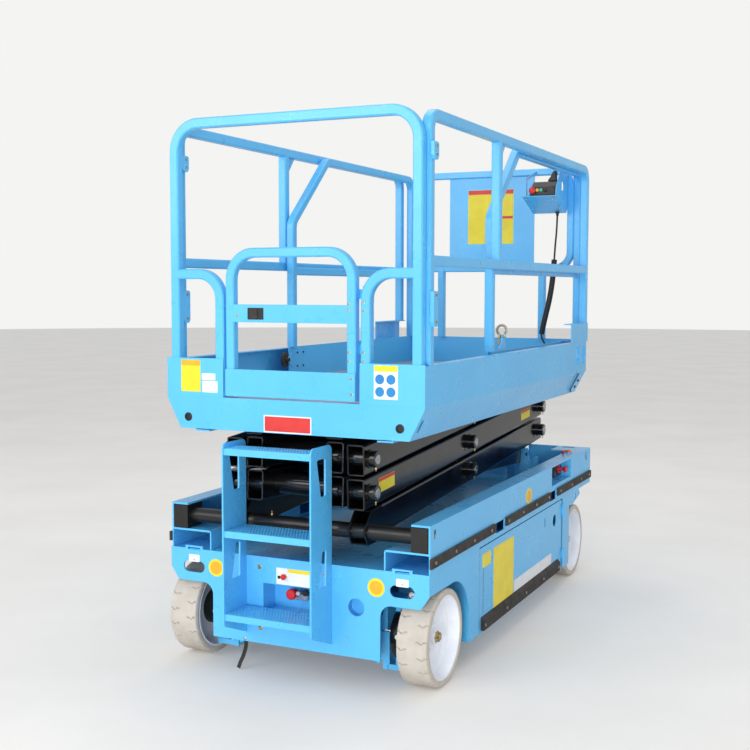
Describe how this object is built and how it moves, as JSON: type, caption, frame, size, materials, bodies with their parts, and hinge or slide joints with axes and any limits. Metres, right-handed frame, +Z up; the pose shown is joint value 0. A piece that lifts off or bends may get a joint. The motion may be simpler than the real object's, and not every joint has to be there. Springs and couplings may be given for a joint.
{
  "type": "scissor lift platform",
  "caption": "Self-propelled scissor lift with guard-railed platform, roll-out deck, swing gate, entry ladder, swing-out side trays and steered front wheels.",
  "frame": {"origin": "floor level under the centre of the machine", "axes": "+X right, +Y along the machine away from the ladder, +Z up"},
  "size_m": [1.18, 2.516, 2.2119],
  "materials": {
    "blue_paint": "sky blue powder coat",
    "black_paint": "satin black paint",
    "rim_paint": "pale grey paint",
    "tyre": "non-marking solid rubber",
    "bumper_rubber": "moulded rubber",
    "motor_black": "satin black paint",
    "battery": "moulded casing",
    "barrel_paint": "satin black paint",
    "rod_chrome": "ground hard chrome",
    "console": "moulded casing",
    "cable": "rubber sheath"
  },
  "bodies": {
    "chassis": {"side_rail_right": "blue_paint", "side_rail_left": "blue_paint", "arch_plate_right": "blue_paint", "arch_plate_left": "blue_paint", "chassis_deck": "blue_paint", "rear_frame": "blue_paint", "front_plate": "blue_paint", "ladder": "blue_paint", "rail_bumpers": "bumper_rubber", "steer_axle": "blue_paint", "rear_axle": "blue_paint"},
    "knuckle_right_body": {"knuckle_right": "blue_paint", "drive_motor_right": "motor_black"},
    "knuckle_left_body": {"knuckle_left": "blue_paint", "drive_motor_left": "motor_black"},
    "wheel_front_right": {"tyre_front_right": "tyre", "rim_front_right": "rim_paint"},
    "wheel_front_left": {"tyre_front_left": "tyre", "rim_front_left": "rim_paint"},
    "wheel_rear_right": {"tyre_rear_right": "tyre", "rim_rear_right": "rim_paint"},
    "wheel_rear_left": {"tyre_rear_left": "tyre", "rim_rear_left": "rim_paint"},
    "tray_right_body": {"tray_right": "blue_paint", "tray_bumper_right": "bumper_rubber", "battery_block": "battery"},
    "tray_left_body": {"tray_left": "blue_paint", "tray_bumper_left": "bumper_rubber", "power_unit_block": "battery"},
    "inner_1": {"inner_arms_1": "black_paint"},
    "outer_1": {"outer_arms_1": "black_paint"},
    "inner_2": {"inner_arms_2": "black_paint"},
    "outer_2": {"outer_arms_2": "black_paint"},
    "inner_3": {"inner_arms_3": "black_paint"},
    "outer_3": {"outer_arms_3": "black_paint"},
    "lower_slider_body": {"lower_slider": "black_paint"},
    "upper_slider_body": {"upper_slider": "black_paint"},
    "barrel": {"cylinder_barrel": "barrel_paint"},
    "rod": {"cylinder_rod": "rod_chrome"},
    "platform": {"platform_frame": "blue_paint", "side_skirts": "blue_paint", "end_skirts": "blue_paint", "toe_plates": "blue_paint", "rear_boxes": "blue_paint", "front_guard": "blue_paint", "side_guard_right": "blue_paint", "side_guard_left": "blue_paint"},
    "gate_body": {"gate": "blue_paint"},
    "extension": {"extension_deck": "blue_paint", "extension_rail_right": "blue_paint", "extension_rail_left": "blue_paint", "extension_end": "blue_paint", "console_bracket": "blue_paint", "console_box": "console", "control_cable": "cable", "cable_sleeve": "cable"}
  },
  "joints": [
    {"name": "lift", "type": "hinge", "parent": "chassis", "child": "inner_1", "pos_m": [0, 1.164, 0.602], "axis": [-1, 0, 0], "range_deg": [0, 50]},
    {"name": "outer_1_pivot", "type": "hinge", "parent": "inner_1", "child": "outer_1", "pos_m": [0, 0.066, 0.689], "axis": [-1, 0, 0], "range_deg": [-100, 0]},
    {"name": "lower_slider_pivot", "type": "hinge", "parent": "outer_1", "child": "lower_slider_body", "pos_m": [0, -1.032, 0.602], "axis": [-1, 0, 0], "range_deg": [0, 50]},
    {"name": "outer_2_pivot", "type": "hinge", "parent": "inner_1", "child": "outer_2", "pos_m": [0, -1.032, 0.755], "axis": [-1, 0, 0], "range_deg": [-100, 0]},
    {"name": "inner_2_pivot", "type": "hinge", "parent": "outer_2", "child": "inner_2", "pos_m": [0, 0.066, 0.821], "axis": [-1, 0, 0], "range_deg": [0, 100]},
    {"name": "outer_3_pivot", "type": "hinge", "parent": "inner_2", "child": "outer_3", "pos_m": [0, -1.032, 0.887], "axis": [-1, 0, 0], "range_deg": [-100, 0]},
    {"name": "inner_3_pivot", "type": "hinge", "parent": "outer_3", "child": "inner_3", "pos_m": [0, 0.066, 0.953], "axis": [-1, 0, 0], "range_deg": [0, 100]},
    {"name": "platform_pivot", "type": "hinge", "parent": "outer_3", "child": "platform", "pos_m": [0, 1.164, 1.019], "axis": [-1, 0, 0], "range_deg": [0, 50]},
    {"name": "upper_slider_pivot", "type": "hinge", "parent": "inner_3", "child": "upper_slider_body", "pos_m": [0, -1.032, 1.019], "axis": [-1, 0, 0], "range_deg": [-50, 0]},
    {"name": "barrel_pivot", "type": "hinge", "parent": "inner_1", "child": "barrel", "pos_m": [0, -0.73258, 0.737], "axis": [-1, 0, 0], "range_deg": [-113.58, 0]},
    {"name": "rod_slide", "type": "slide", "parent": "barrel", "child": "rod", "axis": [0, 0.9918, 0.1277], "range_m": [0, 1.1409]},
    {"name": "wheel_front_right_spin", "type": "hinge", "parent": "knuckle_right_body", "child": "wheel_front_right", "pos_m": [0.5125, -0.92, 0.1905], "axis": [1, 0, 0], "continuous": true},
    {"name": "wheel_front_left_spin", "type": "hinge", "parent": "knuckle_left_body", "child": "wheel_front_left", "pos_m": [-0.5125, -0.92, 0.1905], "axis": [1, 0, 0], "continuous": true},
    {"name": "wheel_rear_right_spin", "type": "hinge", "parent": "chassis", "child": "wheel_rear_right", "pos_m": [0.4975, 0.985, 0.1905], "axis": [1, 0, 0], "continuous": true},
    {"name": "wheel_rear_left_spin", "type": "hinge", "parent": "chassis", "child": "wheel_rear_left", "pos_m": [-0.4975, 0.985, 0.1905], "axis": [1, 0, 0], "continuous": true},
    {"name": "steer_right", "type": "hinge", "parent": "chassis", "child": "knuckle_right_body", "pos_m": [0.415, -0.92, 0.1905], "axis": [0, 0, 1], "range_deg": [-15, 15]},
    {"name": "steer_left", "type": "hinge", "parent": "chassis", "child": "knuckle_left_body", "pos_m": [-0.415, -0.92, 0.1905], "axis": [0, 0, 1], "range_deg": [-15, 15]},
    {"name": "tray_right_swing", "type": "hinge", "parent": "chassis", "child": "tray_right_body", "pos_m": [0.58, 0.708, 0.28], "axis": [0, 0, 1], "range_deg": [0, 90]},
    {"name": "tray_left_swing", "type": "hinge", "parent": "chassis", "child": "tray_left_body", "pos_m": [-0.58, 0.708, 0.28], "axis": [0, 0, -1], "range_deg": [0, 90]},
    {"name": "gate_swing", "type": "hinge", "parent": "platform", "child": "gate_body", "pos_m": [0.2985, -1.063, 1.4], "axis": [0, 0, -1], "range_deg": [0, 90]},
    {"name": "extension_slide", "type": "slide", "parent": "platform", "child": "extension", "axis": [0, 1, 0], "range_m": [0, 0.9]}
  ],
  "couplings": [
    {"joint": "outer_1_pivot", "follows": "lift", "ratio": -2},
    {"joint": "lower_slider_pivot", "follows": "lift", "ratio": 1},
    {"joint": "outer_2_pivot", "follows": "lift", "ratio": -2},
    {"joint": "inner_2_pivot", "follows": "lift", "ratio": 2},
    {"joint": "outer_3_pivot", "follows": "lift", "ratio": -2},
    {"joint": "inner_3_pivot", "follows": "lift", "ratio": 2},
    {"joint": "platform_pivot", "follows": "lift", "ratio": 1},
    {"joint": "upper_slider_pivot", "follows": "lift", "ratio": -1},
    {"joint": "barrel_pivot", "follows": "lift", "ratio": -2.2714},
    {"joint": "rod_slide", "follows": "lift", "m_per_rad": 1.3073},
    {"joint": "steer_left", "follows": "steer_right", "ratio": 1}
  ]
}
